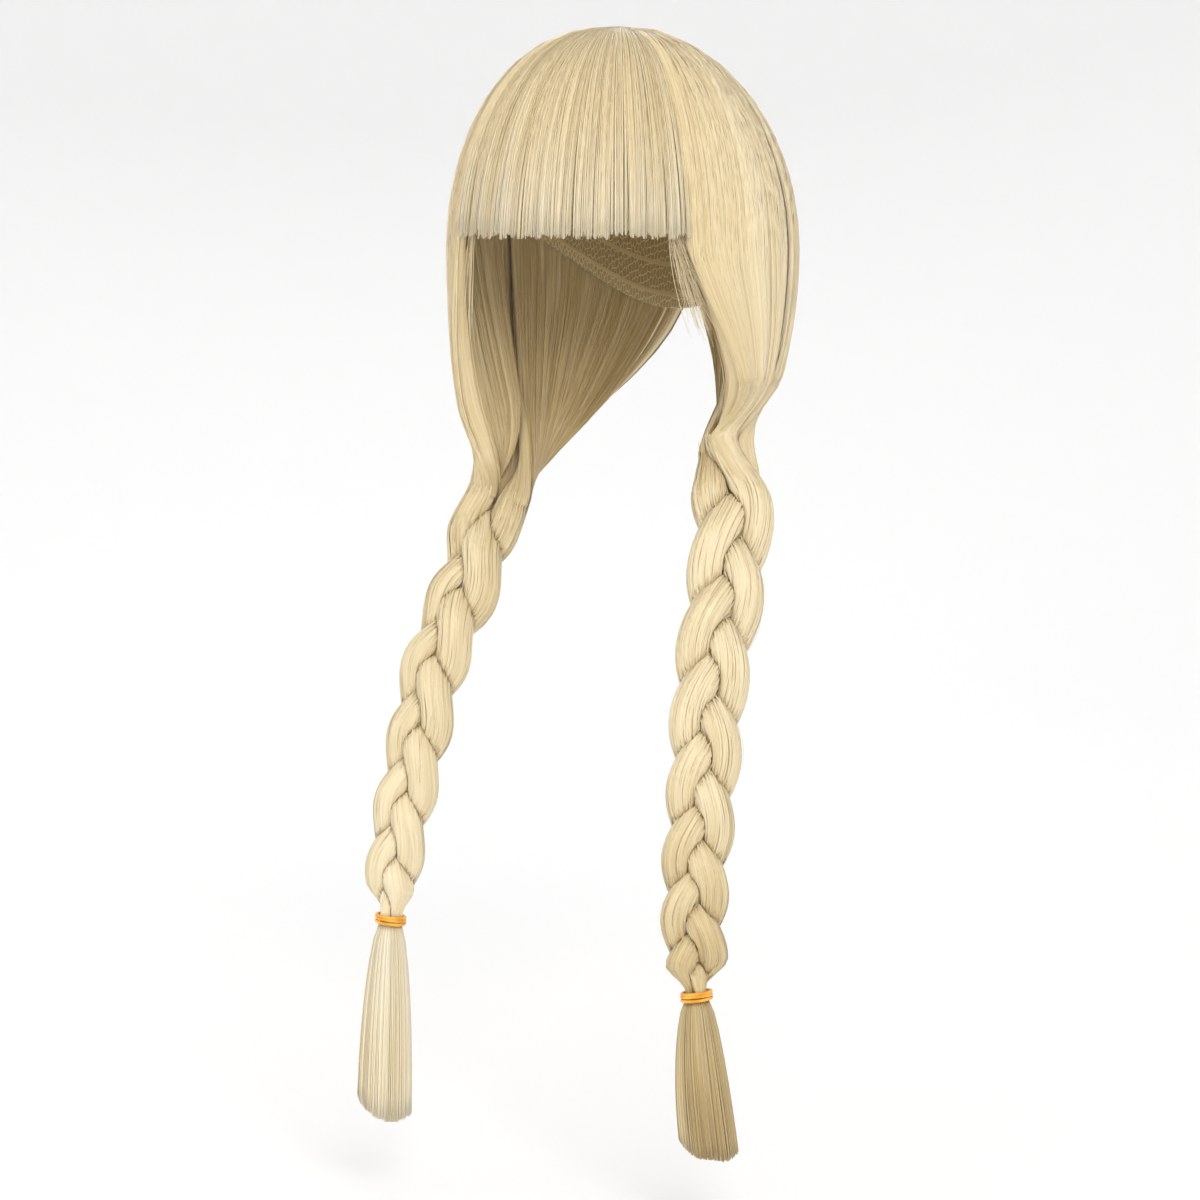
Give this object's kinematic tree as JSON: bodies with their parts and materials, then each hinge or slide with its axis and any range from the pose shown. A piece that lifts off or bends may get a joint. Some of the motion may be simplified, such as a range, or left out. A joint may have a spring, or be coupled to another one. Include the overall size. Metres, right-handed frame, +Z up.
{
  "type": "pigtail wig",
  "caption": "Long straight blonde wig with a full fringe, on a net cap, its hair gathered at each side into a braid closed by an elastic band above a brush-cut end",
  "frame": {"origin": "the crown of the head, on the inside of the cap, where the wig sits on what wears it", "axes": "+Z up, the face looks along -Y, +X is the wearer's left"},
  "size_m": [0.2278, 0.2398, 0.6129],
  "materials": {
    "hair": "smooth pale blonde synthetic fibre with a soft sheen",
    "cap_net": "matt stretch net with rows of weft",
    "elastic": "smooth orange-yellow elastic"
  },
  "bodies": {
    "root": {"net_cap": "cap_net", "fringe": "hair", "hair_left_front": "hair", "strand_left_front": "hair", "hair_left_back": "hair", "strand_left_back": "hair", "hair_left_nape": "hair", "strand_left_nape": "hair", "elastic_band_left": "elastic", "brush_end_left": "hair", "hair_right_front": "hair", "strand_right_front": "hair", "hair_right_back": "hair", "strand_right_back": "hair", "hair_right_nape": "hair", "strand_right_nape": "hair", "elastic_band_right": "elastic", "brush_end_right": "hair"}
  },
  "joints": []
}
